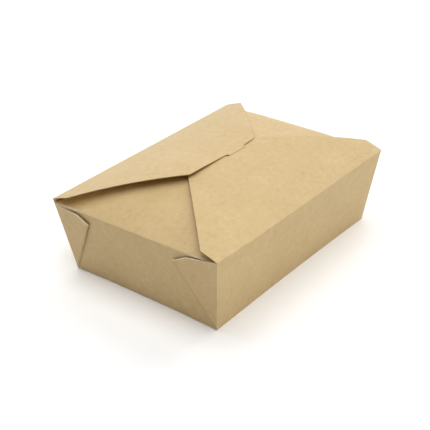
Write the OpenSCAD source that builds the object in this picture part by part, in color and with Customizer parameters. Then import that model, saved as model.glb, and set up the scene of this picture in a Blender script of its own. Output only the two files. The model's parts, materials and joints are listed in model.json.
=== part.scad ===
// Folded kraft takeaway box, closed.
// One die-cut sheet makes the base, the four walls, the doubled corner webs,
// the two end flaps, the slit flap and the locking flap.
// The locking flap lifts on its crease and is a solid of its own.
// X runs along the box, Y across it, Z up. The origin is under the base's middle.

/* [Tray] */
// Length over the top creases
top_length = 215; // [190:1:240]
// Width over the top creases
top_width = 160; // [140:1:180]
// Length of the base panel
base_length = 197; // [175:1:215]
// Width of the base panel
base_width = 140; // [125:1:155]
// Height of the top creases above the table
tray_height = 64; // [48:1:90]
// Fall of the end flaps' creases below the long flaps' creases
end_drop = 2.7; // [0:0.1:5]

/* [Board] */
// Thickness of the board
board = 0.4; // [0.3:0.05:0.6]
// Air left between two layers that lie on each other
layer_gap = 0.3; // [0.2:0.05:0.5]
// Running gap round a crease that moves
crease_gap = 0.15; // [0.1:0.05:0.3]

/* [Corner webs] */
// Fall of a web's top edge below the rim, at the corner
web_drop = 2.5; // [1:0.5:6]
// Further fall of the top edge where its first run ends
web_shoulder_drop = 4; // [2:0.5:8]
// Further fall of the top edge where it turns down to the fold
web_knee_drop = 8; // [5:0.5:12]
// Reach of the first run from the corner
web_shoulder = 11; // [6:0.5:16]
// Reach of the second run from the corner
web_knee = 26; // [18:0.5:30]
// Length of the web's diagonal fold, from the base corner
web_fold = 58.5; // [44:0.5:66]
// Width of the folded bead that joins the web's two layers
web_bead = 0.8; // [0.5:0.1:1.5]
// Angle at which a web springs off the end wall
web_spring = 1; // [0:0.25:2]

/* [Long flaps] */
// Rise of a long flap at its crease, in degrees
crease_rise = 21.5; // [15:0.5:25]
// Rise of a long flap at its tip, in degrees
tip_rise = 2; // [0:0.5:5]
// Length of the locking flap's square sides, next to its crease
lock_shoulder = 17; // [8:0.5:25]
// Length of the slit flap's square sides, next to its crease
slit_shoulder = 15.5; // [8:0.5:25]
// Slant of the flap's sides, from straight across the box
flap_slant = 45; // [38:1:48]
// Reach of the locking flap past the box's middle line
lock_lap = 1.5; // [0.5:0.5:4]
// Reach of the slit flap past the box's middle line
slit_lap = 7; // [5:0.5:12]

/* [Tuck tab] */
// Width of the tab where it leaves the flap
tab_width = 21; // [14:1:28]
// Place of the tab's middle along the box
tab_x = 14.5; // [-15:0.5:15]
// Length of the tab below its bend
tab_depth = 7; // [4:0.5:10]
// Radius of the tab's bend
tab_bend = 2.2; // [1.2:0.1:3]
// Slant of the tab's sides
tab_taper = 12; // [0:1:20]
// Gap between the tab and the slit
slit_gap = 0.25; // [0.15:0.05:0.5]

/* [End flaps] */
// Length of an end flap
end_flap_length = 75; // [60:1:85]
// Width of an end flap at its tip
end_flap_tip = 40; // [20:1:48]
// Nick between an end flap's crease and the corner
end_nick = 3; // [2:0.5:5]

/* [Hidden] */
kraft = "#c9ae80";
kraft_light = "#d8c497";
arc_steps = 24;    // flats along a long flap's bow
bend_steps = 6;    // flats round a bend
overcut = 1;       // how far a cutting shape runs past the face it cuts

// Leaning walls. The end walls stand inside their webs, so their creases are
// nearer the middle at the top by the webs' thickness.
long_lean = atan((top_width - base_width) / 2 / tray_height);
web_lean = atan((top_length - base_length) / 2 / tray_height);
web_thickness = 2 * board + layer_gap;
step = board / 8;                         // definite step between faces that would otherwise meet
end_height = tray_height - end_drop;
end_share = end_height / tray_height;     // how far up the tray the end creases lie
end_half_width = (base_width + (top_width - base_width) * end_share) / 2;
end_top = (base_length + (top_length - base_length) * end_share) / 2 - web_thickness - layer_gap;
end_lean = atan((end_top - base_length / 2) / end_height);
long_slope_length = tray_height / cos(long_lean);
web_slope_length = tray_height / cos(web_lean);
end_slope_length = end_height / cos(end_lean);

// Corner webs: each is half of what a corner of the sheet has left over
corner_length = norm([(top_length - base_length) / 2, (top_width - base_width) / 2, tray_height]);
end_corner_angle = atan((top_width - base_width) / 2 / web_slope_length);
long_corner_angle = atan((top_length - base_length) / 2 / long_slope_length);
web_angle = (90 - end_corner_angle - long_corner_angle) / 2;

// Bow of the long flaps: an arc that starts at the crease
crease_y = top_width / 2 - board / 2;
crease_z = tray_height - board / 2;
lock_v = crease_y + lock_lap;                          // the locking flap's reach in plan
lock_chord = lock_v / cos((crease_rise + tip_rise) / 2);
bow_radius = lock_chord / (2 * sin((crease_rise - tip_rise) / 2));
lock_length = bow_radius * (crease_rise - tip_rise) * PI / 180;
slit_v = crease_y + slit_lap;                          // the slit flap's reach in plan
slit_meet_v = 2 * crease_y - slit_v;                   // where that lies under the locking flap
slit_drop = bow_height(slit_v, crease_rise) - bow_height(slit_meet_v, crease_rise)
    + board + layer_gap;
slit_rise = crease_rise - asin(slit_drop / slit_v);    // it lies lower by the angle of that drop
slit_length = bow_radius * (slit_rise - bow_angle(slit_v, slit_rise)) * PI / 180;

// Tuck tab: a bend down from the tip, then an arc about the moving crease
tip_z = bow_height(lock_v, crease_rise);
bend_v = lock_v + tab_bend * sin(tip_rise);
bend_z = tip_z - tab_bend * cos(tip_rise);
tab_radius = norm([bend_v, bend_z]) + tab_bend;
tab_start = atan2(bend_z, bend_v);
tab_finish = tab_start - tab_depth / tab_radius * 180 / PI;
slit_top = bow_height(2 * crease_y - lock_v, slit_rise) + board / 2;
slit_under = slit_top - 2 * board;
slit_far = sqrt(pow(tab_radius + board / 2 + slit_gap, 2) - pow(slit_under, 2));
slit_near = bend_v - slit_gap + sqrt(pow(tab_bend - board / 2, 2) - pow(slit_top - bend_z, 2));

// End flaps: the corners of their tips lie just under the long flaps
end_corner_v = crease_y - end_flap_tip / 2;
end_headroom = end_drop + bow_height(end_corner_v, slit_rise) - board - layer_gap;
end_tilt = asin(end_headroom / end_flap_length);

// Rise of the bow, in degrees, at a distance v from the crease in plan
function bow_angle(v, start) = asin(sin(start) - v / bow_radius);
// Height of the bow over the crease, in the middle of the board, at that distance
function bow_height(v, start) = bow_radius * (cos(bow_angle(v, start)) - cos(start));
// Points along an arc round a centre
function arc(centre, r, from, to, steps) =
    [for (i = [0:steps]) centre + r * [cos(from + (to - from) * i / steps),
                                       sin(from + (to - from) * i / steps)]];

// Section of a bowed flap from its crease to the reach v, with a round root
function bow_section(start, v) =
    let (centre = bow_radius * [sin(start), -cos(start)],
         finish = bow_angle(v, start))
    concat(arc(centre, bow_radius + board / 2, 90 + start, 90 + finish, arc_steps),
           arc(centre, bow_radius - board / 2, 90 + finish, 90 + start, arc_steps),
           arc([0, 0], board / 2, 270 + start, 90 + start, bend_steps));

// Section of the tuck tab, from a root inside the flap's board to the tab's end.
// Its faces lie a step inside the flap's.
function tab_section() =
    let (half = board / 2 - step,
         normal = [-sin(tip_rise), cos(tip_rise)],
         root = [lock_v, tip_z] - 2 * board * [cos(tip_rise), sin(tip_rise)])
    concat([root + half * normal],
           arc([bend_v, bend_z], tab_bend + half, 90 + tip_rise, tab_start, bend_steps),
           arc([0, 0], tab_radius + half, tab_start, tab_finish, bend_steps),
           arc([0, 0], tab_radius - half, tab_finish, tab_start, bend_steps),
           arc([bend_v, bend_z], tab_bend - half, tab_start, 90 + tip_rise, bend_steps),
           [root - half * normal]);

// Outline of a long flap in plan, from behind its crease to past its tip
function flap_outline(v, length, shoulder) =
    let (side = top_length / 2,
         knee = shoulder * cos(crease_rise),
         tip = side - (length - shoulder) * tan(flap_slant))
    [[-side, -board], [side, -board], [side, knee], [tip, v + board], [-tip, v + board],
     [-side, knee]];

// Outline of a web, with its corner crease along +Y from the base corner and its fold
// on the -X side. Its side ends inside the long wall's board.
// A slot inside it leaves a bead along the fold and is open at the top.
function web_outline(bead) =
    let (top = corner_length - web_drop + bead,
         root = bead / sin(web_angle),
         side = -board / 2)
    [[side, root + board / 2 / tan(web_angle)], [side, top], [-web_shoulder, top - web_shoulder_drop],
     [-web_knee, top - web_knee_drop],
     [-web_fold * sin(web_angle), web_fold * cos(web_angle) + root]];

// The base panel, whose edges end inside the walls' board
module base() {
    linear_extrude(board) square([base_length - board, base_width - board], center = true);
}

// Stands a flat panel on its base crease, in front of the middle, leaning outwards.
// The panel's outer face passes through the crease.
module stand(half_depth, lean) {
    translate([0, -half_depth, 0]) rotate([90 + lean, 0, 0]) children();
}

// A wall panel: a trapezium on its base crease, with its thickness inwards
module wall_panel(bottom, top, height) {
    translate([0, 0, -board])
        linear_extrude(board)
            polygon([[-bottom / 2, 0], [bottom / 2, 0], [top / 2, height], [-top / 2, height]]);
}

module long_wall() {
    stand(base_width / 2, long_lean)
        wall_panel(base_length, top_length, long_slope_length);
}

// An end wall with its two webs; its sides end inside the long walls
module end_wall() {
    rotate([0, 0, -90]) {
        stand(base_length / 2, end_lean)
            wall_panel(base_width - board, 2 * end_half_width - board, end_slope_length);
        stand(base_length / 2, web_lean) {
            web();
            mirror([1, 0, 0]) web();
        }
    }
}

// A doubled web that springs off the end wall about its corner crease
module web() {
    translate([base_width / 2, 0, 0])
        rotate([0, 0, -end_corner_angle])
            rotate([0, web_spring, 0])
                translate([0, 0, -web_thickness - step])
                    difference() {
                        linear_extrude(web_thickness) polygon(web_outline(0));
                        translate([0, 0, board])
                            linear_extrude(layer_gap) polygon(web_outline(web_bead));
                    }
}

// An end flap rising inwards from the top of its end wall
module end_flap() {
    root = end_half_width - end_nick;
    tip = end_flap_tip / 2;
    translate([-end_top, 0, end_height])
        rotate([0, -end_tilt, 0])
            translate([0, 0, -board])
                linear_extrude(board)
                    polygon([[0, -root], [end_flap_length, -tip], [end_flap_length, tip], [0, root]]);
}

// Draws a section along X over the whole length, at the front crease, with +v inwards
module along_crease(width) {
    translate([0, -crease_y, crease_z])
        rotate([90, 0, 90])
            linear_extrude(width, center = true) children();
}

// A long flap at the front crease
module long_flap(start, v, length, shoulder) {
    intersection() {
        along_crease(top_length) polygon(bow_section(start, v));
        translate([0, -crease_y, 0])
            linear_extrude(2 * tray_height) polygon(flap_outline(v, length, shoulder));
    }
}

// The opening in the slit flap that takes the tab
module slit() {
    translate([tab_x, crease_y - (slit_near + slit_far) / 2, crease_z + slit_top])
        cube([tab_width + 2 * slit_gap, slit_far - slit_near, 4 * board], center = true);
}

// Room for the moving crease: a nick along the rear rim
module crease_relief() {
    depth = end_nick + overcut;
    translate([-top_length / 2 - overcut, top_width / 2 - end_nick, tray_height - board - crease_gap])
        cube([top_length + 2 * overcut, depth, depth]);
}

// Base, walls, webs, end flaps and slit flap: one folded piece
module carton() {
    color(kraft)
        difference() {
            union() {
                base();
                long_wall();
                mirror([0, 1, 0]) long_wall();
                end_wall();
                mirror([1, 0, 0]) end_wall();
                end_flap();
                mirror([1, 0, 0]) end_flap();
                long_flap(slit_rise, slit_v, slit_length, slit_shoulder);
            }
            slit();
            crease_relief();
        }
}

// The flap at the rear, which lies over the slit flap and tucks its tab into the slit
module locking_flap() {
    color(kraft_light)
        mirror([0, 1, 0]) {
            long_flap(crease_rise, lock_v, lock_length, lock_shoulder);
            intersection() {
                along_crease(top_length) polygon(tab_section());
                tab_sides();
            }
        }
}

// The tapering sides of the tab, seen from the front
module tab_sides() {
    drop = tab_depth + tab_bend + board;
    narrow = tab_width / 2 - drop * tan(tab_taper);
    translate([tab_x, 0, crease_z + tip_z + board])
        rotate([90, 0, 0])
            linear_extrude(top_width, center = true)
                polygon([[-tab_width / 2, 0], [-tab_width / 2, -tab_bend], [-narrow, -drop - tab_bend],
                         [narrow, -drop - tab_bend], [tab_width / 2, -tab_bend], [tab_width / 2, 0]]);
}

carton();
locking_flap();
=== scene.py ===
"""Folded kraft takeaway box, closed, with its locking flap and a separate piece for the flap's crease."""

import json
from math import asin, atan, atan2, copysign, cos, hypot, radians, sin, sqrt, tan
from types import SimpleNamespace

import bmesh
import bpy
from bpy.props import FloatProperty, FloatVectorProperty, PointerProperty
from bpy.types import Operator, Panel, PropertyGroup
from mathutils import Matrix, Vector


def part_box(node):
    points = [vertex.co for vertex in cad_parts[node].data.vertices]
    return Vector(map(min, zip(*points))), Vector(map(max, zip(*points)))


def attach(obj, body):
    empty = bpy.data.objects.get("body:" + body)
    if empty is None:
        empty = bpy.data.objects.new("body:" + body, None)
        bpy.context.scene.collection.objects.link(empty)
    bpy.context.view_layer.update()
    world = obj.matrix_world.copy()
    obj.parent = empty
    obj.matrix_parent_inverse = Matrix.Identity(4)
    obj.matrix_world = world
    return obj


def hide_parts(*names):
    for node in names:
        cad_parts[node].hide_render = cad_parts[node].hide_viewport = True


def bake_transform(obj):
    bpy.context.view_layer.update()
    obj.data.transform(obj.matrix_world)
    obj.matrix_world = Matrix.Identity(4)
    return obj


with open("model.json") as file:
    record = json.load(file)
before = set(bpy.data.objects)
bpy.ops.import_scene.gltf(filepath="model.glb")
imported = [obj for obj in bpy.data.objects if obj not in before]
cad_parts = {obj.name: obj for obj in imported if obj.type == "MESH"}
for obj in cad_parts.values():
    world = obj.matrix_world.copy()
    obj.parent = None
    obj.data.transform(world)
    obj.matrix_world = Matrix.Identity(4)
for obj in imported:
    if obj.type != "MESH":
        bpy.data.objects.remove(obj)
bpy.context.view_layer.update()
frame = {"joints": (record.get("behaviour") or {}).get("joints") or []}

bl_info = {
    "name": "Folded Food Box",
    "version": (1, 0, 0),
    "blender": (4, 5, 0),
    "location": "View3D > Sidebar > Food Box",
    "description": "Folded kraft board, cut edges, creases and a soft studio",
    "category": "Object",
}

# The frame's own places, in metres
CARTON_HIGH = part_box("carton")[1]
CREASE = Vector(frame["joints"][0]["pos_m"])

MM = 0.001
X, Y, Z = Vector((1, 0, 0)), Vector((0, 1, 0)), Vector((0, 0, 1))

# A direction along which no two faces of a sheet have their middles side by side
FACE_ORDER = Vector((1, 0.618, 0.382))

# How close points lie to be one point, to be on a line and to be at a place
SAME, ON_LINE, AT_PLACE = 1e-6, 0.01 * MM, 0.1 * MM

# Slots of a piece of board; PAINTED_SHADE is the face darkened as painted shade along the webs' folds and the
# locking flap's slanted sides, and PALE_RIM is a pale band along a web's top edge, partly bared core and
# partly painted highlight
FACE, EDGE, INSIDE, PAINTED_SHADE, PALE_RIM = range(5)

# Radii of the outline's corners and of a web's fold
FLAP_CORNER, FAR_TIP_CORNER, END_FLAP_CORNER = 1.5 * MM, 6 * MM, 4 * MM
WEB_CORNER, WEB_FOLD = 0.6 * MM, 0.22 * MM

# How far the strip that bends reaches to either side of its crease
STRIP = 2 * MM

# Distances between the cuts that let a sheet bow, along the box and across it
PITCH_X, PITCH_Y = 12 * MM, 10 * MM

# Where a bend of the long flaps starts and where it is full: in from the crease, and along the box
TIP_BEND, PRESS_BEND = (25 * MM, 80 * MM), (50 * MM, 80 * MM)
PULL_X, PULL_END_X = (-40 * MM, 20 * MM), (28 * MM, 44 * MM)
PRESS_X, SLIT_SAG_X = (-26 * MM, -4 * MM), (-3 * MM, -38 * MM)

# How far the dip of the tuck tab's root reaches, in from its sides and from the tip
DIP_SIDE, DIP_TIP = 3 * MM, 6 * MM

# Where the rise of the near corner starts
NEAR_X, NEAR_Y, NEAR_Z = -55 * MM, -40 * MM, 20 * MM

# Where a bend of the end creases starts and where it is full, across the box
END_LIFT, END_SAG = (-42 * MM, -CARTON_HIGH.y), (-55 * MM, 45 * MM)
END_RISE, END_FALL = (-76 * MM, -20 * MM), (60 * MM, CARTON_HIGH.y)
END_BULGE, REAR_BULGE = (62 * MM, 40 * MM), (55 * MM, CARTON_HIGH.y)

# Where each light stands, as seen from the box
LIGHTS = {
    "top_light": (0, 0, 1),
    "high_light": (0, -0.42, 0.91),
    "rear_light": (0, 0.42, 0.91),
    "left_light": (-0.37, -0.21, 0.91),
    "right_light": (0.77, 0, 0.64),
    "front_light": (0, -0.97, 0.26),
    "corner_light": (0.68, 0.68, 0.26),
}


# ---- settings

# What the settings of one kind share
LENGTH = {"unit": "LENGTH", "precision": 5}
ANGLE = {"subtype": "ANGLE"}
COLOUR = {"subtype": "COLOR"}
WEB = {"size": 7, **LENGTH}
WEB_SHAPE = "Fall at the corner, then reach and height of its shoulder, knee and fold end"


class BoxSizes(PropertyGroup):
    """Sizes of the folded sheet that the frame's box doesn't give."""

    base_length: FloatProperty(
        name="Base Length", description="Length of the base panel", default=0.197, **LENGTH
    )
    base_width: FloatProperty(
        name="Base Width", description="Width of the base panel", default=0.140, **LENGTH
    )
    board: FloatProperty(name="Board", description="Thickness of the board", default=0.0004, **LENGTH)
    layer_gap: FloatProperty(name="Layer Gap", description="Air between two layers", default=0.0003, **LENGTH)
    fold_radius: FloatProperty(
        name="Fold Radius", description="Outer radius of a fold", default=0.0007, **LENGTH
    )
    corner_radius: FloatProperty(
        name="Corner Radius", description="Outer radius of a corner fold", default=0.0011, **LENGTH
    )
    foot_bow: FloatProperty(
        name="Foot Bow", description="How far a wall's foot bows inwards", default=0.0010, **LENGTH
    )
    near_web: FloatVectorProperty(
        name="Near Web",
        description=WEB_SHAPE,
        default=(0.0002, 0.0110, 0.0606, 0.0284, 0.0555, 0.0397, 0.0466),
        **WEB,
    )
    left_web: FloatVectorProperty(
        name="Left Web",
        description=WEB_SHAPE,
        default=(0.0058, 0.0113, 0.0575, 0.0232, 0.0552, 0.0332, 0.0480),
        **WEB,
    )
    far_web: FloatVectorProperty(
        name="Far Webs",
        description=WEB_SHAPE,
        default=(0.0025, 0.0110, 0.0589, 0.0260, 0.0549, 0.0349, 0.0470),
        **WEB,
    )
    web_springs: FloatVectorProperty(
        name="Web Springs",
        description="How far the near, left, right and rear webs stand off the end walls",
        default=(radians(1.0), radians(2.4), radians(1.4), radians(1.2)),
        size=4,
        subtype="EULER",
    )
    # The pale band along a web's top edge is partly bared core and partly a painted highlight; this width
    # also sets the painted shade band along the locking flap's slanted sides
    rim_width: FloatProperty(
        name="Rim Width", description="Bared board along a web's top edge", default=0.00045, **LENGTH
    )
    # Painted shade: the darker band along a web's fold stands in for the shadow line beside it
    painted_shade_width: FloatProperty(
        name="Painted Shade Width", description="Darker board along a web's fold", default=0.0013, **LENGTH
    )
    crease_rise: FloatProperty(
        name="Crease Rise", description="Rise of a long flap at its crease", default=radians(21.5), **ANGLE
    )
    tip_rise: FloatProperty(
        name="Tip Rise", description="Rise of a long flap at its tip", default=radians(2), **ANGLE
    )
    lock_shoulder: FloatProperty(
        name="Lock Shoulder", description="Square sides of the locking flap", default=0.017, **LENGTH
    )
    slit_shoulder: FloatProperty(
        name="Slit Shoulder", description="Square sides of the slit flap", default=0.0155, **LENGTH
    )
    flap_slant: FloatProperty(
        name="Flap Slant", description="Slant of a flap's sides", default=radians(45), **ANGLE
    )
    lock_lap: FloatProperty(
        name="Lock Lap", description="Reach of the locking flap past the middle", default=0.0015, **LENGTH
    )
    slit_lap: FloatProperty(
        name="Slit Lap", description="Reach of the slit flap past the middle", default=0.007, **LENGTH
    )
    tab_width: FloatProperty(name="Tab Width", description="Width of the tuck tab", default=0.021, **LENGTH)
    tab_x: FloatProperty(name="Tab Place", description="Middle of the tab", default=0.0145, **LENGTH)
    tab_depth: FloatProperty(name="Tab Depth", description="Length below its bend", default=0.007, **LENGTH)
    tab_root: FloatProperty(name="Tab Root", description="Flat run before its bend", default=0.0015, **LENGTH)
    tab_bend: FloatProperty(name="Tab Bend", description="Radius of its bend", default=0.0007, **LENGTH)
    tab_taper: FloatProperty(name="Tab Taper", description="Slant of its sides", default=radians(12), **ANGLE)
    tab_fillet: FloatProperty(
        name="Tab Fillet", description="Radius at the tab's root", default=0.0009, **LENGTH
    )
    slit_gap: FloatProperty(name="Slit Gap", description="Gap between tab and slit", default=0.0001, **LENGTH)
    end_drop: FloatProperty(
        name="End Drop", description="Fall of the end creases below the long ones", default=0.0027, **LENGTH
    )
    end_flap_length: FloatProperty(
        name="End Flap", description="Length of an end flap", default=0.075, **LENGTH
    )
    end_flap_tip: FloatProperty(
        name="End Flap Tip", description="Width of an end flap at its tip", default=0.040, **LENGTH
    )
    end_nick: FloatProperty(
        name="End Nick", description="Nick beside an end flap's crease", default=0.0004, **LENGTH
    )
    near_lift: FloatProperty(
        name="Near Lift", description="Rise of the left end crease to the front", default=0.0014, **LENGTH
    )
    rear_bulge: FloatProperty(
        name="Rear Bulge", description="Bulge of the left end crease at the rear", default=0.0012, **LENGTH
    )
    rear_sag: FloatProperty(
        name="Rear Sag", description="Fall of the left end crease to the rear", default=0.0009, **LENGTH
    )
    near_rise: FloatProperty(
        name="Near Rise", description="Rise of the front crease's near corner", default=0.0015, **LENGTH
    )
    far_rise: FloatProperty(
        name="Far Rise", description="Rise of the right end crease", default=0.0029, **LENGTH
    )
    far_bulge: FloatProperty(
        name="Far Bulge", description="How far the right end crease stands out", default=0.0013, **LENGTH
    )
    slit_sag: FloatProperty(
        name="Slit Flap Sag", description="Fall of the slit flap's near corner", default=0.0020, **LENGTH
    )
    tip_sags: FloatVectorProperty(
        name="Tip Sags",
        description="Fall of the left and right end flaps' tips under the slit flap",
        default=(0.0012, 0.0009),
        size=2,
        **LENGTH,
    )
    end_bows: FloatVectorProperty(
        name="End Bows",
        description="How far the left and right end flaps bow up between crease and tip",
        default=(0.0026, 0.0),
        size=2,
        **LENGTH,
    )
    tab_dip: FloatProperty(
        name="Tab Dip", description="Fall of the tuck tab's root into the slit", default=0.0004, **LENGTH
    )
    tip_press: FloatProperty(
        name="Tip Press", description="Fall of the locking flap's tip by the tab", default=0.00027, **LENGTH
    )
    tab_pull: FloatProperty(
        name="Tab Pull", description="Fall of both flaps towards the tuck tab", default=0.0014, **LENGTH
    )


class KraftLook(PropertyGroup):
    """Colours of the board."""

    kraft: FloatVectorProperty(
        name="Kraft", description="Middle colour of the board", default=(0.593, 0.425, 0.197), **COLOUR
    )
    kraft_dark: FloatVectorProperty(
        name="Kraft Dark", description="Its darker clouds", default=(0.525, 0.365, 0.157), **COLOUR
    )
    kraft_light: FloatVectorProperty(
        name="Kraft Light", description="Its lighter clouds", default=(0.655, 0.484, 0.241), **COLOUR
    )
    fibre: FloatVectorProperty(
        name="Fibre", description="Single dark fibres", default=(0.368, 0.240, 0.102), **COLOUR
    )
    inside: FloatVectorProperty(
        name="Inside", description="The coated inner face", default=(0.700, 0.475, 0.192), **COLOUR
    )
    # Also the colour of the worn board and painted highlight on the folds
    pulp_and_highlight: FloatVectorProperty(
        name="Cut Edge", description="Pulp of a cut edge", default=(0.760, 0.650, 0.470), **COLOUR
    )


class StudioLook(PropertyGroup):
    """Floor, lights and camera."""

    azimuth: FloatProperty(
        name="Azimuth", description="Camera's place round the box", default=radians(-50.539), **ANGLE
    )
    elevation: FloatProperty(
        name="Elevation", description="Camera's height over the floor", default=radians(29.825), **ANGLE
    )
    roll: FloatProperty(name="Roll", description="Camera's roll", default=radians(-1.86), **ANGLE)
    distance: FloatProperty(name="Distance", description="Camera's distance", default=0.830423, **LENGTH)
    aside: FloatProperty(name="Aside", description="Aim to the right", default=-0.00787, **LENGTH)
    above: FloatProperty(name="Above", description="Aim upwards", default=0.022584, **LENGTH)
    lens: FloatProperty(name="Lens", description="Focal length in millimetres", default=84.893)
    top_light: FloatProperty(name="Top", description="Strength of the light overhead", default=0.295)
    high_light: FloatProperty(name="High", description="Strength of the high light in front", default=0.915)
    rear_light: FloatProperty(name="Rear", description="Strength of the high light behind", default=1.0)
    left_light: FloatProperty(name="Left", description="Strength of the high light at the left", default=0.63)
    right_light: FloatProperty(name="Right", description="Strength of the light at the right", default=1.034)
    front_light: FloatProperty(name="Front", description="Strength of the low front light", default=0.53)
    corner_light: FloatProperty(name="Corner", description="Strength of the low light behind", default=0.870)
    sky: FloatProperty(name="Sky", description="Strength of the even light", default=0.015)
    wall: FloatProperty(name="Wall", description="Brightness of the wall far behind", default=1.0)
    spread: FloatProperty(name="Spread", description="Width of each light", default=radians(45), **ANGLE)
    floor: FloatVectorProperty(
        name="Floor", description="Colour of the floor", default=(0.99, 0.99, 0.99), **COLOUR
    )


# ---- places worked out from the sizes


def layout(s):
    """Places and angles of the folded sheet, in metres and radians."""
    o = SimpleNamespace()
    o.half_length, o.half_width = CARTON_HIGH.x, CARTON_HIGH.y
    o.base_x, o.base_y = s.base_length / 2, s.base_width / 2
    o.crease_y, o.crease_z = CREASE.y, CREASE.z
    o.height = o.crease_z + s.board / 2
    o.corner = Vector((o.half_length - o.base_x, o.half_width - o.base_y, o.height))
    o.end_lean = atan((o.half_length - o.base_x) / o.height)
    o.long_tan = (o.half_width - o.base_y) / o.height
    o.end_height = o.height - s.end_drop
    share = o.end_height / o.height
    o.end_half_width = o.base_y + (o.half_width - o.base_y) * share
    web_layers = 2 * s.board + s.layer_gap
    o.end_rim = o.base_x + (o.half_length - o.base_x) * share - web_layers - s.layer_gap

    o.lock_v = o.crease_y + s.lock_lap
    chord = o.lock_v / cos((s.crease_rise + s.tip_rise) / 2)
    o.bow_radius = chord / (2 * sin((s.crease_rise - s.tip_rise) / 2))
    o.slit_v = o.crease_y + s.slit_lap
    o.lock_length = o.bow_radius * (s.crease_rise - s.tip_rise)
    meet = 2 * o.crease_y - o.slit_v
    lock_fall = bow_height(o, o.slit_v, s.crease_rise) - bow_height(o, meet, s.crease_rise)
    o.slit_rise = s.crease_rise - asin((lock_fall + s.board + s.layer_gap) / o.slit_v)
    o.slit_length = o.bow_radius * (o.slit_rise - bow_angle(o, o.slit_v, o.slit_rise))

    o.tip_z = bow_height(o, o.lock_v, s.crease_rise)
    root_v = o.lock_v + s.tab_root
    o.root_rise = bow_angle(o, root_v, s.crease_rise)
    o.bend_v = root_v + s.tab_bend * sin(o.root_rise)
    o.bend_z = bow_height(o, root_v, s.crease_rise) - s.tab_bend * cos(o.root_rise)
    o.tab_radius = hypot(o.bend_v, o.bend_z) + s.tab_bend
    o.tab_start = atan2(o.bend_z, o.bend_v)
    slit_top = bow_height(o, 2 * o.crease_y - o.lock_v, o.slit_rise) + s.board / 2
    over_bend = slit_top - o.bend_z + s.tab_dip + s.tip_press
    o.slit_far = o.bend_v + sqrt((s.tab_bend + s.board / 2) ** 2 - over_bend**2)
    o.slit_near = o.bend_v - s.slit_gap

    corner_v = o.crease_y - s.end_flap_tip / 2
    headroom = s.end_drop + bow_height(o, corner_v, o.slit_rise) - s.board - s.layer_gap
    o.end_tilt = asin(headroom / s.end_flap_length)

    # Directions up the front wall and up a long flap from the front crease, and the strip's two ends
    wall_lean = atan(o.long_tan)
    o.wall_way = Vector((0, -sin(wall_lean), cos(wall_lean)))
    o.flap_way = Vector((0, cos(s.crease_rise), sin(s.crease_rise)))
    o.wall_seam = Vector((0, -o.half_width, o.height)) - o.wall_way * STRIP
    o.flap_seam = Vector((0, -o.crease_y, o.crease_z)) + o.flap_way * STRIP
    return o


def bow_angle(o, v, start):
    """Rise of the bow at a distance v from its crease, in plan."""
    return asin(sin(start) - v / o.bow_radius)


def bow_height(o, v, start):
    """Height of the bow over its crease at that distance, in the middle of the board."""
    return o.bow_radius * (cos(bow_angle(o, v, start)) - cos(start))


def bow_centre(o, start):
    """The line round which a long flap at the front bows, if it starts at that rise."""
    return Vector(
        (0, o.bow_radius * sin(start) - o.crease_y, o.crease_z - o.bow_radius * cos(start))
    )


def slanted_side(o, s, side, reach, length, shoulder):
    """Start, end and outward direction of a slanted side of a long flap at the front."""
    tip_x = o.half_length - (length - shoulder) * tan(s.flap_slant)
    start = Vector((side * o.half_length, shoulder * cos(s.crease_rise) - o.crease_y, 0))
    end = Vector((side * tip_x, reach - o.crease_y, 0))
    return start, end, pointing((end - start).cross(Z), X * side).normalized()


def smooth(x, low, high):
    """0 before low, 1 past high, smooth between."""
    t = min(1.0, max(0.0, (x - low) / (high - low)))
    return t * t * (3 - 2 * t)


def pointing(vector, way):
    """The vector or its opposite, whichever points more that way."""
    return -vector if vector.dot(way) < 0 else vector


# ---- sheet tools


def choose(bm, test=None):
    """Faces whose middle passes a test, or all; sorted, as operators leave them in a chance order."""
    bm.faces.sort(key=lambda f: f.calc_center_median().dot(FACE_ORDER))
    return [f for f in bm.faces if test is None or test(f.calc_center_median())]


def cut(bm, point, normal, clear=False, only=None):
    """Cuts the sheet along a plane, and clears what lies on the normal's side if asked."""
    faces = choose(bm) if only is None else [f for f in only if f.is_valid]
    edges = dict.fromkeys(e for f in faces for e in f.edges)
    verts = dict.fromkeys(v for f in faces for v in f.verts)
    bmesh.ops.bisect_plane(
        bm,
        geom=[*verts, *edges, *faces],
        dist=SAME,
        plane_co=point,
        plane_no=normal,
        clear_outer=clear,
        clear_inner=False,
    )


def even_cuts(bm, axis, half, pitch, middle=0.0, only=None):
    """Cuts the sheet across an axis at an even pitch, so that it can bend."""
    n = int(half / pitch)
    for i in range(-n, n + 1):
        cut(bm, axis * (middle + i * pitch), axis, only=only)


def tab_cuts(bm, s, only=None):
    """Cuts the sheet across at the tuck tab, so that it can dip."""
    even_cuts(bm, X, s.tab_width / 2, s.tab_width / 9, s.tab_x, only)


def bevel(bm, parts, radius, segments, affect):
    """Rounds edges or corners."""
    bmesh.ops.bevel(
        bm,
        geom=[part for part in parts if part.is_valid],
        offset=radius,
        offset_type="OFFSET",
        segments=segments,
        profile=0.5,
        affect=affect,
        clamp_overlap=True,
        material=-1,
    )


def round_edges(bm, edges, radius, segments=4):
    """Rounds folds."""
    bevel(bm, edges, radius, segments, "EDGES")


def round_corners(bm, verts, radius, segments=5):
    """Rounds the outline's corners, as the cutting die does."""
    bevel(bm, verts, radius, segments, "VERTICES")


def spin(bm, parts, centre, angle, steps):
    """Spins an edge and its ends round a line along the box, and returns where they end."""
    spun = bmesh.ops.spin(
        bm,
        geom=parts,
        cent=centre,
        axis=X,
        dvec=(0, 0, 0),
        angle=angle,
        steps=steps,
        use_merge=False,
        use_normal_flip=False,
        use_duplicate=False,
    )
    return spun["geom_last"]


def remove(bm, faces):
    """Takes faces out of the sheet."""
    bmesh.ops.delete(bm, geom=faces, context="FACES")


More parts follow.
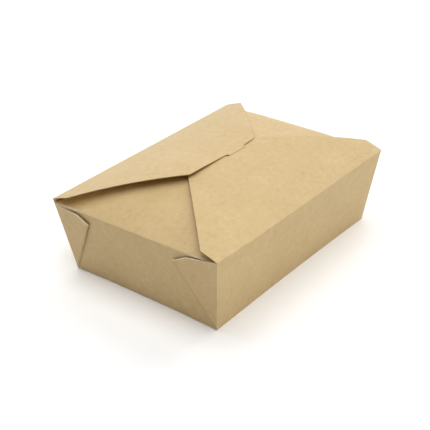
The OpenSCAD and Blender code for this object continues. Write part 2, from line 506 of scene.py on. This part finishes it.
def turn_over(bm):
    """Mirrors the sheet from the front to the rear."""
    bmesh.ops.scale(bm, vec=(1, -1, 1), verts=bm.verts)
    bmesh.ops.reverse_faces(bm, faces=bm.faces)


def face_out(bm, outwards):
    """Makes the sheet's outer face one side throughout; its largest panel looks outwards."""
    bmesh.ops.recalc_face_normals(bm, faces=choose(bm))
    bm.normal_update()
    if max(bm.faces, key=lambda f: f.calc_area()).normal.dot(outwards) < 0:
        bmesh.ops.reverse_faces(bm, faces=bm.faces)
    bm.normal_update()


def edge_between(a, b):
    """The edge that joins two corners."""
    for e in a.link_edges:
        if e.other_vert(a) is b:
            return e
    raise RuntimeError("two corners of the sheet aren't joined")


def sheet_map(bm, level=0.6):
    """A flat map of the sheet in metres, for the fibres; level faces are mapped from above."""
    layer = bm.loops.layers.uv.new("sheet")
    for f in bm.faces:
        x, y, z = (abs(c) for c in f.normal)
        for loop in f.loops:
            p = loop.vert.co
            loop[layer].uv = p.xy if z > level else p.xz if y > x else p.yz


def flap_sag(s, x, v, pull_lost=0.4):
    """Fall of both long flaps where the tuck tab pulls their tips down."""
    along = smooth(x, *PULL_X) - pull_lost * smooth(x, *PULL_END_X)
    return s.tab_pull * smooth(v, *TIP_BEND) * along


def tab_dip(o, s, x, v):
    """Fall of the locking flap, and of the strip under it, to the slit."""
    half = s.tab_width / 2
    across = smooth(abs(x - s.tab_x), half, half - DIP_SIDE)
    return s.tab_dip * across * smooth(v, o.lock_v - DIP_TIP, o.lock_v)


def foot_bow(o, s, p):
    """The walls' feet bow inwards between the corners."""
    bow = s.foot_bow * max(0.0, 1 - p.z / o.height)
    out_x, out_y = min(1.0, abs(p.x) / o.base_x), min(1.0, abs(p.y) / o.base_y)
    p.y -= copysign(bow * (1 - out_x**2) * out_y, p.y)
    p.x -= copysign(bow * (1 - out_y**2) * out_x, p.x)


def add_object(name, data):
    """Puts a mesh, a light or a camera into the scene."""
    thing = bpy.data.objects.new(name, data)
    bpy.context.scene.collection.objects.link(thing)
    return thing


def add_mesh(bm, name, materials):
    """Puts a finished bmesh into the scene."""
    mesh = bpy.data.meshes.new(name)
    bm.to_mesh(mesh)
    bm.free()
    for m in materials:
        mesh.materials.append(m)
    return add_object(name, mesh)


def make_piece(bm, name, s, body=None):
    """Turns a sheet's outer face into a piece of board, which rides on a body if one is named."""
    for f in choose(bm):
        f.smooth = True
    for e in bm.edges:
        e.smooth = len(e.link_faces) != 2 or e.calc_face_angle(0) < radians(28)
    sheet_map(bm)
    piece = add_mesh(bm, name, board_materials())
    thick = piece.modifiers.new("Board", "SOLIDIFY")
    thick.thickness = s.board
    thick.offset = -1
    thick.use_even_offset = True
    thick.use_rim = True
    thick.material_offset_rim = EDGE
    thick.material_offset = INSIDE
    worn = piece.modifiers.new("Cut edges", "BEVEL")
    worn.width = s.board / 6
    worn.segments = 2
    worn.limit_method = "ANGLE"
    worn.angle_limit = radians(60)
    shading = piece.modifiers.new("Flat faces", "WEIGHTED_NORMAL")
    shading.keep_sharp = True
    if body:
        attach(piece, body)
    return piece


# ---- the sheet's parts


def add_web(bm, o, s, root, tip, side, shape, spring):
    """A corner web: its outer layer, the rounded fold along its diagonal and the layer behind."""
    normal = Vector((side * cos(o.end_lean), 0, -sin(o.end_lean)))
    up = (tip.co - root.co).normalized()
    off = pointing(normal.cross(up), Y) * cos(spring) + normal * sin(spring)
    top = (tip.co - root.co).length
    shoulder_reach, shoulder_up, knee_reach, knee_up, end_reach, end_up = shape[1:]
    depth = 2 * s.board + s.layer_gap / 2
    inset = 1.2 * s.board  # of the hidden layer's inner corners
    part = 0.45  # of the fold's length, where the hidden layer reaches its full depth

    def at(reach, height, deep=0.0):
        return bm.verts.new(root.co + off * reach + up * height - normal * deep)

    shoulder = at(shoulder_reach, shoulder_up)
    knee = at(knee_reach, knee_up)
    end = at(end_reach, end_up)
    mid = at(end_reach * part, end_up * part)
    root_in = at(0, 0, inset)
    mid_in = at(end_reach * part, end_up * part, depth)
    end_in = at(end_reach, end_up, depth)
    knee_in = at(knee_reach, knee_up, depth)
    shoulder_in = at(shoulder_reach, shoulder_up, depth)
    tip_in = at(inset, top, depth)
    low_in = at(inset, end_up * part, depth)
    for corners in (
        [root, tip, shoulder, knee, end, mid],
        [root, mid, mid_in, root_in],
        [mid, end, end_in, mid_in],
        [mid_in, end_in, knee_in, shoulder_in, tip_in, low_in],
    ):
        bm.faces.new(corners)
    folds = [edge_between(root, mid), edge_between(mid, end), edge_between(mid_in, end_in)]
    outline = [v.co.copy() for v in (tip, shoulder, knee, end)]
    return folds, [shoulder, knee], (root.co.copy(), off.cross(up), outline)


def paint_web_rim_and_shade(bm, s, root, normal, outline):
    """Paints a pale band along a web's top edge, partly its bared core and partly a painted highlight, and a
    painted shade along its fold.
    """

    def outer_layer():
        return choose(bm, lambda middle: abs((middle - root).dot(normal)) < AT_PLACE)

    # A pale band along the top edge: partly bared core, partly painted highlight
    runs = []
    for a, b in zip(outline, outline[1:]):
        run = (b - a).normalized()
        inward = pointing(run.cross(normal), -Z)
        runs.append((a, run, (b - a).length, inward))
        cut(bm, a + inward * s.rim_width, inward, only=outer_layer())
    for f in outer_layer():
        for a, run, length, inward in runs:
            place = f.calc_center_median() - a
            beside = -AT_PLACE < place.dot(run) < length + AT_PLACE
            if beside and 0 <= place.dot(inward) < s.rim_width:
                f.material_index = PALE_RIM
    # Painted shade: a darker band along the fold, for the shadow line beside it on the wall
    inward = pointing((outline[-1] - root).normalized().cross(normal), Z)
    cut(bm, root + inward * s.painted_shade_width, inward, only=outer_layer())
    for f in outer_layer():
        place = f.calc_center_median() - root
        if f.material_index == FACE and place.dot(inward) < s.painted_shade_width:
            f.material_index = PAINTED_SHADE


def long_sheet(o, s, start, reach, shapes, springs):
    """A long wall at the front with its two webs, its foot and its bowed flap, as one outer face."""
    bm = bmesh.new()
    rim_v = -s.board / 2 * sin(start)
    rim_z = o.crease_z + s.board / 2 * cos(start)
    back = rim_v + o.long_tan * rim_z + o.base_y - o.crease_y
    back /= cos(start) + o.long_tan * sin(start)
    rim_y = rim_v - o.crease_y - back * cos(start)
    rim_z -= back * sin(start)
    up = o.corner.normalized()
    foot_x, foot_y = o.base_x - 2 * MM, 1.5 * MM - o.base_y
    roots, tips, rims, feet = [], [], [], []
    for side, shape in zip((-1, 1), shapes):
        top = o.corner.length - shape[0]
        roots.append(bm.verts.new((side * o.base_x, -o.base_y, 0)))
        tips.append(bm.verts.new(roots[-1].co + Vector((side * up.x, -up.y, up.z)) * top))
        rims.append(bm.verts.new((side * o.half_length, rim_y, rim_z)))
        feet.append(bm.verts.new((side * foot_x, foot_y, 0)))
    bm.faces.new([roots[0], roots[1], tips[1], rims[1], rims[0], tips[0]])
    bm.faces.new([feet[0], feet[1], roots[1], roots[0]])
    corner_folds, web_folds, web_corners, webs = [], [], [], []
    for side, root, tip, shape, spring in zip((-1, 1), roots, tips, shapes, springs):
        folds, corners, web = add_web(bm, o, s, root, tip, side, shape, spring)
        corner_folds.append(edge_between(root, tip))
        web_folds += folds
        web_corners += corners
        webs.append(web)
    rim = edge_between(*rims)
    foot = edge_between(*roots)
    spin(bm, [*rims, rim], bow_centre(o, start), bow_angle(o, reach, start) - start, 24)
    face_out(bm, -Y)
    round_corners(bm, web_corners, WEB_CORNER, 3)
    round_edges(bm, web_folds, WEB_FOLD, 3)
    round_edges(bm, corner_folds, s.corner_radius)
    round_edges(bm, [rim, foot], s.fold_radius)
    for web in webs:
        paint_web_rim_and_shade(bm, s, *web)
    bm.normal_update()
    return bm


def flap_part(bm, o, margin=0.0):
    """Faces of the flap in a long sheet at the front, past its crease."""
    return choose(bm, lambda middle: middle.y > margin - o.crease_y and middle.z > o.height)


def cut_outline(bm, o, s, reach, length, shoulder):
    """Cuts the flap's slanting sides, and returns its corners."""
    places = []
    for side in (-1, 1):
        start, end, out = slanted_side(o, s, side, reach, length, shoulder)
        places += [start.xy, end.xy]
        half_shoulder = (start.y + o.crease_y) / 2
        cut(bm, start, out, clear=True, only=flap_part(bm, o, half_shoulder))
    return [v for v in bm.verts if any((v.co.xy - place).length < AT_PLACE for place in places)]


def cut_slit(bm, o, s, near, far):
    """Cuts the slit for the tuck tab out of the slit flap."""
    half = s.tab_width / 2 + s.slit_gap
    for place, axis in ((s.tab_x - half, X), (s.tab_x + half, X), (near, Y), (far, Y)):
        cut(bm, axis * place, axis, only=flap_part(bm, o))

    def in_slit(middle):
        return abs(middle.x - s.tab_x) < half and far < middle.y < near and middle.z > o.height

    gone = choose(bm, in_slit)
    if not gone:
        raise RuntimeError("the slit was not cut")
    remove(bm, gone)


def add_tab(bm, o, s):
    """Runs the tuck tab on from the locking flap's tip, bends it down and tapers it."""
    half = s.tab_width / 2
    for x in (s.tab_x - half, s.tab_x + half):
        cut(bm, X * x, X)
    front = max(v.co.y for v in bm.verts)
    root = []
    for e in bm.edges:
        middle = (e.verts[0].co + e.verts[1].co) / 2
        if all(v.co.y > front - ON_LINE for v in e.verts) and abs(middle.x - s.tab_x) < half:
            root.append(e)
    if len(root) != 1:
        raise RuntimeError("the tab's root was not found")
    before = set(bm.verts)
    last = [*root, *root[0].verts]
    bend = Vector((0, o.bend_v - o.crease_y, o.crease_z + o.bend_z))
    turn = o.tab_start - radians(90) - o.root_rise
    for centre, angle, steps in (
        (bow_centre(o, s.crease_rise), o.root_rise - s.tip_rise, 6),
        (bend, turn, 8),
        (Vector((0, -o.crease_y, o.crease_z)), -s.tab_depth / o.tab_radius, 4),
    ):
        last = spin(bm, last, centre, angle, steps)
    bend_top = o.crease_z + o.tip_z - s.tab_bend
    for v in bm.verts:
        at_root = v.co.y > front - ON_LINE and abs(abs(v.co.x - s.tab_x) - half) < ON_LINE
        if v in before and not at_root:
            continue
        depth = max(0.0, bend_top - v.co.z)
        close = max(0.0, s.tab_fillet - max(0.0, v.co.y - front) - depth)
        fillet = s.tab_fillet - sqrt(s.tab_fillet**2 - close**2)
        wider = fillet - depth * tan(s.tab_taper)
        v.co.x = s.tab_x + (v.co.x - s.tab_x) * (1 + wider / half)
    round_corners(bm, [g for g in last if isinstance(g, bmesh.types.BMVert)], FLAP_CORNER)


def bend_end(o, s, p):
    """Bends an end wall's crease and its flap, as the webs and the slit flap push them."""
    on_wall = smooth(p.z, o.end_height * 0.4, o.end_height)
    on_flap = smooth(abs(p.x), o.end_rim - s.end_flap_length * 0.6, o.end_rim)
    if p.x > 0:
        top = smooth(p.z, o.end_height - 8 * MM, o.end_height)
        rise = smooth(p.y, *END_RISE) - 0.5 * smooth(p.y, *END_FALL)
        p.x += s.far_bulge * top * smooth(abs(p.y), *END_BULGE) * on_flap
        p.z += s.far_rise * rise * on_wall * on_flap
    else:
        rise = s.near_lift * smooth(p.y, *END_LIFT) - s.rear_sag * smooth(p.y, *END_SAG)
        p.z += rise * on_wall * on_flap
        top = smooth(p.z, o.end_height - 4 * MM, o.end_height - 1.5 * MM)
        p.x -= s.rear_bulge * top * smooth(p.y, *REAR_BULGE) * on_flap
    if p.z > o.end_height:
        right = p.x > 0
        at_tip = smooth(abs(p.x), o.end_rim, o.end_rim - s.end_flap_length)
        inside = min(1.0, max(0.0, (o.end_rim - abs(p.x)) / s.end_flap_length))
        full = 27 / 4  # makes the bow's top 1, at a third of the flap's length
        p.z += s.end_bows[right] * full * inside * (1 - inside) ** 2
        p.z -= s.tip_sags[right] * at_tip


# ---- materials


def shader_group(name, inputs, outputs):
    """A node group with sockets of these names and kinds, and the values that it is given."""
    tree = bpy.data.node_groups.new(name, "ShaderNodeTree")
    for direction, sockets in (("INPUT", inputs), ("OUTPUT", outputs)):
        for key, kind in sockets.items():
            tree.interface.new_socket(name=key, in_out=direction, socket_type=f"NodeSocket{kind}")
    return tree, tree.nodes.new("NodeGroupInput").outputs


def blank_material(name):
    """A new material and its empty node tree."""
    m = bpy.data.materials.new(name)
    m.use_nodes = True
    m.node_tree.nodes.clear()
    return m, m.node_tree


def node(tree, kind, inputs=None, **settings):
    """A shader node, its settings, and values or links for its inputs."""
    n = tree.nodes.new(kind)
    for key, value in settings.items():
        setattr(n, key, value)
    for key, value in (inputs or {}).items():
        if isinstance(value, bpy.types.NodeSocket):
            tree.links.new(value, n.inputs[key])
        else:
            n.inputs[key].default_value = value
    return n


def surface(tree, inputs):
    """A Principled shader with these inputs as the material's surface."""
    shader = node(tree, "ShaderNodeBsdfPrincipled", inputs)
    node(tree, "ShaderNodeOutputMaterial", {"Surface": shader.outputs[0]})


def maths(tree, operation, *values):
    """The result of a Math node."""
    return node(tree, "ShaderNodeMath", dict(enumerate(values)), operation=operation).outputs[0]


def ramp(tree, value, low, high, top=1.0, bottom=0.0):
    """A smooth step from the bottom at low to the top at high."""
    n = node(
        tree,
        "ShaderNodeMapRange",
        {"Value": value, "From Min": low, "From Max": high, "To Min": bottom, "To Max": top},
        interpolation_type="SMOOTHSTEP",
    )
    return n.outputs["Result"]


def mix(tree, factor, a, b):
    """Two colours, mixed by a factor."""
    a, b = (c if isinstance(c, bpy.types.NodeSocket) else (*c, 1) for c in (a, b))
    return node(tree, "ShaderNodeMix", {0: factor, 6: a, 7: b}, data_type="RGBA").outputs[2]


def kraft_group():
    """Clouds, fibres and flecks of kraft board, from a place in metres."""
    colours = dict.fromkeys(("Middle", "Dark", "Light", "Fibre"), "Color")
    tree, given = shader_group(
        "Kraft fibre",
        {"Place": "Vector", "Sheet": "Vector", **colours, "Clouds": "Float"},
        {"Colour": "Color", "Height": "Float", "Roughness": "Float"},
    )
    place, sheet = given["Place"], given["Sheet"]

    def noise(where, scale, detail, rough, stretch=None):
        if stretch:
            inputs = {"Vector": where, "Scale": (stretch, 1, 1)}
            where = node(tree, "ShaderNodeMapping", inputs).outputs[0]
        inputs = {"Vector": where, "Scale": scale, "Detail": detail, "Roughness": rough}
        return node(tree, "ShaderNodeTexNoise", inputs).outputs["Fac"]

    broad = noise(place, scale=28, detail=2, rough=0.55)
    cloud = noise(place, scale=210, detail=4, rough=0.6)
    grain = noise(place, scale=900, detail=4, rough=0.65)
    streak = noise(sheet, scale=700, detail=3, rough=0.6, stretch=0.22)
    hair = noise(sheet, scale=1500, detail=2, rough=0.5, stretch=0.12)
    fleck = noise(place, scale=1300, detail=2, rough=0.5)
    total = 0.0
    for layer, share in ((cloud, 0.55), (broad, 0.30), (grain, 0.45), (streak, 0.30)):
        total = maths(tree, "MULTIPLY_ADD", layer, share, total)
    middle, lightest, darkest = 0.80, 1.02, 0.58
    lighter = maths(tree, "MULTIPLY", ramp(tree, total, middle, lightest), given["Clouds"])
    darker = maths(tree, "MULTIPLY", ramp(tree, total, middle, darkest), given["Clouds"])
    colour = mix(tree, lighter, given["Middle"], given["Light"])
    colour = mix(tree, darker, colour, given["Dark"])
    dark_hair = ramp(tree, hair, 0.66, 0.74, top=0.22)
    dark_fleck = ramp(tree, fleck, 0.70, 0.78, top=0.28)
    colour = mix(tree, maths(tree, "MAXIMUM", dark_hair, dark_fleck), colour, given["Fibre"])
    height = maths(tree, "MULTIPLY_ADD", grain, 0.5, maths(tree, "MULTIPLY", streak, 0.5))
    roughness = ramp(tree, grain, 0.35, 0.65, top=0.62, bottom=0.50)
    made = {"Colour": colour, "Height": height, "Roughness": roughness}
    node(tree, "NodeGroupOutput", made)
    return tree


def fold_group(o, s):
    """Wear and a painted highlight, full on the box's folds and gone at its reach: faint on all but the end
    creases, where the painted highlight is strongest over the webs.
    """
    tree, given = shader_group(
        "Fold wear", {"Place": "Vector", "Reach": "Float"}, {"Wear": "Float"}
    )
    split = node(tree, "ShaderNodeSeparateXYZ", {"Vector": given["Place"]}).outputs
    along, across, z = split["X"], split["Y"], split["Z"]
    x = maths(tree, "ABSOLUTE", along)
    y = maths(tree, "ABSOLUTE", across)

    def away(a, at, b, bt):
        """Distance from a line at these two places."""
        da = maths(tree, "SUBTRACT", a, at)
        db = maths(tree, "SUBTRACT", b, bt)
        return maths(
            tree, "SQRT", maths(tree, "MULTIPLY_ADD", da, da, maths(tree, "MULTIPLY", db, db))
        )

    def worn(distance, strength):
        """Wear and painted highlight at a distance from a fold."""
        return ramp(tree, maths(tree, "DIVIDE", distance, given["Reach"]), 1.0, 0.2, strength)

    corner_x = maths(tree, "MULTIPLY_ADD", z, o.corner.x / o.height, o.base_x)
    corner_y = maths(tree, "MULTIPLY_ADD", z, o.corner.y / o.height, o.base_y)
    nearest = away(y, o.half_width, z, o.height)
    for line in (away(y, o.base_y, z, 0.0), away(x, corner_x, y, corner_y)):
        nearest = maths(tree, "MINIMUM", nearest, line)

    lift = ramp(tree, across, *END_LIFT, s.near_lift)
    left = maths(tree, "SUBTRACT", lift, ramp(tree, across, *END_SAG, s.rear_sag))
    rise = ramp(tree, across, *END_RISE, s.far_rise)
    right = maths(tree, "SUBTRACT", rise, ramp(tree, across, *END_FALL, s.far_rise / 2))
    on_right = maths(tree, "GREATER_THAN", along, 0.0)
    rise = maths(tree, "MULTIPLY_ADD", on_right, maths(tree, "SUBTRACT", right, left), left)
    end_z = maths(tree, "ADD", rise, o.end_height)
    end_x = maths(tree, "MULTIPLY_ADD", on_right, ramp(tree, y, *END_BULGE, s.far_bulge), o.end_rim)
    # Painted highlight on the end creases, strongest over the webs and fading out just at the corners
    over_webs = ramp(tree, y, 48 * MM, 60 * MM, top=0.75, bottom=0.2)
    to_corner = ramp(tree, y, o.half_width - 0.6 * MM, o.half_width - 1.8 * MM)
    end_wear_and_highlight = maths(
        tree, "MULTIPLY", worn(away(x, end_x, z, end_z), 1.0), maths(tree, "MULTIPLY", over_webs, to_corner)
    )
    node(tree, "NodeGroupOutput", {"Wear": maths(tree, "MAXIMUM", worn(nearest, 0.06), end_wear_and_highlight)})
    return tree


def kraft_material(name, look, groups, tint=(1, 1, 1), clouds=1.0):
    """Kraft board's face, its folds paled by worn board and a painted highlight; a tint turns it into the
    coated inner face, or into a painted shade.
    """
    _, tree = blank_material(name)
    place = node(tree, "ShaderNodeTexCoord").outputs["Object"]
    inputs = {
        "Place": place,
        "Sheet": node(tree, "ShaderNodeUVMap", uv_map="sheet").outputs["UV"],
        "Clouds": clouds,
    }
    for key, colour in (
        ("Middle", look.kraft),
        ("Dark", look.kraft_dark),
        ("Light", look.kraft_light),
        ("Fibre", look.fibre),
    ):
        inputs[key] = (*(c * t for c, t in zip(colour, tint)), 1)
    kraft = node(tree, "ShaderNodeGroup", inputs, node_tree=groups["kraft"]).outputs
    # Worn board and a painted highlight pale the folds towards the cut edge's colour
    inputs = {"Place": place, "Reach": 1 * MM}
    wear_and_highlight = node(tree, "ShaderNodeGroup", inputs, node_tree=groups["fold"]).outputs["Wear"]
    inputs = {"Strength": 0.25, "Distance": 0.06 * MM, "Height": kraft["Height"]}
    surface(
        tree,
        {
            "Base Color": mix(tree, wear_and_highlight, kraft["Colour"], look.pulp_and_highlight),
            "Roughness": kraft["Roughness"],
            "Specular IOR Level": 0.5,
            "Normal": node(tree, "ShaderNodeBump", inputs).outputs["Normal"],
        },
    )


def edge_material(name, look, groups, crease):
    """A cut edge: pale pulp, browner on the flaps above the creases."""
    _, tree = blank_material(name)
    place = node(tree, "ShaderNodeTexCoord").outputs["Object"]
    height = node(tree, "ShaderNodeSeparateXYZ", {"Vector": place}).outputs["Z"]
    on_flap = ramp(tree, height, crease - 1 * MM, crease + 1 * MM)
    pale, brown = Vector(look.pulp_and_highlight), Vector(look.kraft)
    inputs = {"Place": place, "Sheet": place, "Clouds": 1.0, "Fibre": (*look.kraft, 1)}
    for key, share in (("Middle", 1.0), ("Dark", 0.86), ("Light", 1.06)):
        inputs[key] = mix(tree, on_flap, pale * share, brown * share)
    kraft = node(tree, "ShaderNodeGroup", inputs, node_tree=groups["kraft"]).outputs
    inputs = {"Base Color": kraft["Colour"], "Roughness": kraft["Roughness"], "Specular IOR Level": 0.2}
    surface(tree, inputs)


def board_materials():
    """The board's materials, made once, one for each slot."""
    if "kraft_face" not in bpy.data.materials:
        scene = bpy.context.scene
        s, look = scene.food_box_sizes, scene.food_box_look
        groups = {"kraft": kraft_group(), "fold": fold_group(layout(s), s)}
        kraft_material("kraft_face", look, groups)
        edge_material("kraft_edge", look, groups, CREASE.z)
        tint = [a / b for a, b in zip(look.inside, look.kraft)]
        kraft_material("kraft_inside", look, groups, tint, 0.7)
        # Painted shade: the face darkened by this tint, along the webs' folds and the locking flap's slanted
        # sides
        kraft_material("kraft_crushed", look, groups, (0.83, 0.82, 0.80))
    # In the order of the slots FACE, EDGE, INSIDE, PAINTED_SHADE and PALE_RIM
    names = ("kraft_face", "kraft_edge", "kraft_inside", "kraft_crushed", "kraft_edge")
    return [bpy.data.materials[name] for name in names]


# ---- operators


class FOODBOX_OT_front(Operator):
    """Builds the front wall with its webs and the slit flap"""

    bl_idname = "food_box.front"
    bl_label = "Front Wall and Slit Flap"

    def execute(self, context):
        s = context.scene.food_box_sizes
        o = layout(s)
        springs = (s.web_springs[0], s.web_springs[2])
        bm = long_sheet(o, s, o.slit_rise, o.slit_v, (s.near_web, s.far_web), springs)
        corners = cut_outline(bm, o, s, o.slit_v, o.slit_length, s.slit_shoulder)
        round_corners(bm, corners, FLAP_CORNER)
        near, far = o.crease_y - o.slit_near, o.crease_y - o.slit_far
        cut_slit(bm, o, s, near, far)
        even_cuts(bm, X, o.half_length, PITCH_X)
        tab_cuts(bm, s, only=flap_part(bm, o))
        for v in bm.verts:
            p = v.co
            foot_bow(o, s, p)
            beside = smooth(p.x, NEAR_X, -o.half_length) * smooth(p.y, NEAR_Y, -o.half_width)
            p.z += s.near_rise * beside * smooth(p.z, NEAR_Z, o.height)
            if p.z > o.height:
                inward = p.y + o.crease_y
                p.z -= flap_sag(s, p.x, inward)
                p.z -= s.slit_sag * smooth(inward, *TIP_BEND) * smooth(p.x, *SLIT_SAG_X)
                if p.y > near - ON_LINE:
                    p.z -= tab_dip(o, s, p.x, 2 * o.crease_y - inward)
        piece = make_piece(bm, "front_wall_and_slit_flap", s, "box")
        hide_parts("carton")
        return {"FINISHED"}


class FOODBOX_OT_rear(Operator):
    """Builds the rear wall with its webs, and a separate piece for the locking flap's crease"""

    bl_idname = "food_box.rear"
    bl_label = "Rear Wall and Crease"

    def execute(self, context):
        s = context.scene.food_box_sizes
        o = layout(s)
        shapes, springs = (s.left_web, s.far_web), (s.web_springs[1], s.web_springs[3])
        bm = long_sheet(o, s, s.crease_rise, o.lock_v, shapes, springs)
        wall = [f for f in choose(bm) if f.calc_center_median().y < -o.base_y or f.normal.z > 0.3]
        cut(bm, o.wall_seam, o.wall_way, clear=True, only=wall)
        even_cuts(bm, X, o.half_length, PITCH_X)
        turn_over(bm)
        for v in bm.verts:
            foot_bow(o, s, v.co)
        piece = make_piece(bm, "rear_wall", s, "box")
        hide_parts("carton")

        bm = long_sheet(o, s, s.crease_rise, o.lock_v, shapes, (0, 0))
        remove(bm, [f for f in choose(bm) if abs(f.normal.x) > 0.5])
        cut(bm, o.wall_seam, -o.wall_way, clear=True)
        cut(bm, o.flap_seam, o.flap_way, clear=True)
        even_cuts(bm, X, o.half_length, PITCH_X)
        turn_over(bm)
        piece = make_piece(bm, "rear_crease", s)
        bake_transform(piece)
        return {"FINISHED"}


class FOODBOX_OT_ends(Operator):
    """Builds the base, the end walls and the end flaps"""

    bl_idname = "food_box.ends"
    bl_label = "Base, End Walls and End Flaps"

    def execute(self, context):
        s = context.scene.food_box_sizes
        o = layout(s)
        bm = bmesh.new()
        rim_x, foot_x = -o.end_rim, 0.45 * MM - o.base_x
        tip_x = rim_x + s.end_flap_length * cos(o.end_tilt)
        tip_z = o.end_height + s.end_flap_length * sin(o.end_tilt)
        mids, inner, feet, rims, nicks, tips = (
            [bm.verts.new((x, y, z)) for y in (-half, half)]
            for x, z, half in (
                (0, 0, o.base_y - 1.5 * MM),
                (foot_x, 0, o.base_y - 1.5 * MM),
                (foot_x, 0, o.base_y - s.board / 2),
                (rim_x, o.end_height, o.end_half_width - s.board / 2),
                (rim_x, o.end_height, o.end_half_width - s.end_nick),
                (tip_x, tip_z, s.end_flap_tip / 2),
            )
        )
        bm.faces.new([mids[1], inner[1], inner[0], mids[0]])
        bm.faces.new([inner[0], feet[0], rims[0], nicks[0], nicks[1], rims[1], feet[1], inner[1]])
        bm.faces.new([nicks[0], tips[0], tips[1], nicks[1]])
        face_out(bm, -Z)
        round_corners(bm, tips, END_FLAP_CORNER)
        round_edges(bm, [edge_between(*inner), edge_between(*nicks)], s.fold_radius)
        geom = [*bm.verts, *bm.edges, *bm.faces]
        bmesh.ops.mirror(bm, geom=geom, axis="X", matrix=Matrix.Identity(4), merge_dist=SAME)
        face_out(bm, -Z)
        even_cuts(bm, Y, o.half_width, PITCH_Y)
        even_cuts(bm, X, o.half_length, PITCH_X)
        for v in bm.verts:
            foot_bow(o, s, v.co)
            bend_end(o, s, v.co)
        piece = make_piece(bm, "base_and_end_walls", s, "box")
        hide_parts("carton")
        return {"FINISHED"}


class FOODBOX_OT_lock(Operator):
    """Builds the locking flap with its tuck tab"""

    bl_idname = "food_box.lock"
    bl_label = "Locking Flap"

    def execute(self, context):
        s = context.scene.food_box_sizes
        o = layout(s)
        outline = (o.lock_v, o.lock_length, s.lock_shoulder)
        bm = long_sheet(o, s, s.crease_rise, o.lock_v, (s.far_web, s.far_web), (0, 0))
        corners = cut_outline(bm, o, s, *outline)
        far_tip = [v for v in corners if v.co.x > 0 and v.co.y > 0]
        round_corners(bm, [v for v in corners if v not in far_tip], FLAP_CORNER)
        round_corners(bm, far_tip, FAR_TIP_CORNER)
        remove(bm, choose(bm, lambda middle: middle.z < o.height - s.fold_radius))
        cut(bm, o.flap_seam, -o.flap_way, clear=True)
        add_tab(bm, o, s)
        face_out(bm, Z)
        even_cuts(bm, X, o.half_length, PITCH_X)
        tab_cuts(bm, s)
        # Painted shade: a darker band along each slanted side of the locking flap, for the shadow line beside
        # it
        for side in (-1, 1):
            start, _, out = slanted_side(o, s, side, *outline)
            rim = start - out * s.rim_width
            cut(bm, rim, out)
            for f in choose(bm, lambda middle: (middle - rim).dot(out) > 0):
                f.material_index = PAINTED_SHADE
        for v in bm.verts:
            p = v.co
            inward = p.y + o.crease_y
            p.z -= flap_sag(s, p.x, inward) + tab_dip(o, s, p.x, inward)
            p.z -= s.tip_press * smooth(inward, *PRESS_BEND) * smooth(p.x, *PRESS_X)
        turn_over(bm)
        piece = make_piece(bm, "locking_flap_sheet", s, "flap")
        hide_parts("locking_flap")
        return {"FINISHED"}


class FOODBOX_OT_stage(Operator):
    """Builds the floor, the lights and the camera"""

    bl_idname = "food_box.stage"
    bl_label = "Floor, Lights and Camera"

    def execute(self, context):
        look = context.scene.food_box_studio
        bm = bmesh.new()
        bmesh.ops.create_grid(bm, x_segments=8, y_segments=8, size=12)
        paint, tree = blank_material("floor_paint")
        surface(tree, {"Base Color": (*look.floor, 1), "Roughness": 0.9, "Specular IOR Level": 0.1})
        floor = add_mesh(bm, "floor", [paint])

        for name, direction in LIGHTS.items():
            light = bpy.data.lights.new(name, "SUN")
            light.energy = getattr(look, name)
            light.angle = look.spread
            lamp = add_object(name, light)
            lamp.rotation_euler = Vector(direction).to_track_quat("Z", "Y").to_euler()
        world = bpy.data.worlds.new("studio")
        world.use_nodes = True
        back = world.node_tree.nodes["Background"]
        back.inputs["Color"].default_value = (1, 1, 1, 1)
        seen = world.node_tree.nodes.new("ShaderNodeLightPath").outputs["Is Camera Ray"]
        strength = maths(world.node_tree, "MULTIPLY_ADD", seen, look.wall - look.sky, look.sky)
        world.node_tree.links.new(strength, back.inputs["Strength"])
        context.scene.world = world

        az, el, roll = look.azimuth, look.elevation, look.roll
        out = Vector((sin(az) * cos(el), -cos(az) * cos(el), sin(el)))
        right = Vector((cos(az), sin(az), 0))
        up = out.cross(right)
        turned_right = right * cos(roll) + up * sin(roll)
        turned_up = up * cos(roll) - right * sin(roll)
        place = out * look.distance + turned_right * look.aside + turned_up * look.above
        camera = bpy.data.cameras.new("camera")
        camera.lens = look.lens
        camera.sensor_width = 36
        camera.clip_start = 0.01
        camera.clip_end = 100
        eye = add_object("camera", camera)
        turn = Matrix((turned_right, turned_up, out)).transposed()
        eye.matrix_world = Matrix.Translation(place) @ turn.to_4x4()
        context.scene.camera = eye
        context.scene.view_settings.view_transform = "Standard"
        return {"FINISHED"}


class FOODBOX_PT_panel(Panel):
    """The box's settings and its operators"""

    bl_idname = "FOODBOX_PT_panel"
    bl_label = "Food Box"
    bl_space_type = "VIEW_3D"
    bl_region_type = "UI"
    bl_category = "Food Box"

    def draw(self, context):
        scene = context.scene
        for settings in (scene.food_box_sizes, scene.food_box_look, scene.food_box_studio):
            column = self.layout.column(align=True)
            for key in settings.__annotations__:
                column.prop(settings, key)
        for operator in OPERATORS:
            self.layout.operator(operator.bl_idname)


OPERATORS = (FOODBOX_OT_front, FOODBOX_OT_rear, FOODBOX_OT_ends, FOODBOX_OT_lock, FOODBOX_OT_stage)
CLASSES = (BoxSizes, KraftLook, StudioLook, *OPERATORS, FOODBOX_PT_panel)


def register():
    for c in CLASSES:
        bpy.utils.register_class(c)
    bpy.types.Scene.food_box_sizes = PointerProperty(type=BoxSizes)
    bpy.types.Scene.food_box_look = PointerProperty(type=KraftLook)
    bpy.types.Scene.food_box_studio = PointerProperty(type=StudioLook)


def unregister():
    del bpy.types.Scene.food_box_studio
    del bpy.types.Scene.food_box_look
    del bpy.types.Scene.food_box_sizes
    for c in reversed(CLASSES):
        bpy.utils.unregister_class(c)


def main():
    register()
    for operator in OPERATORS:
        group, name = operator.bl_idname.split(".")
        getattr(getattr(bpy.ops, group), name)()


if __name__ == "__main__":
    main()
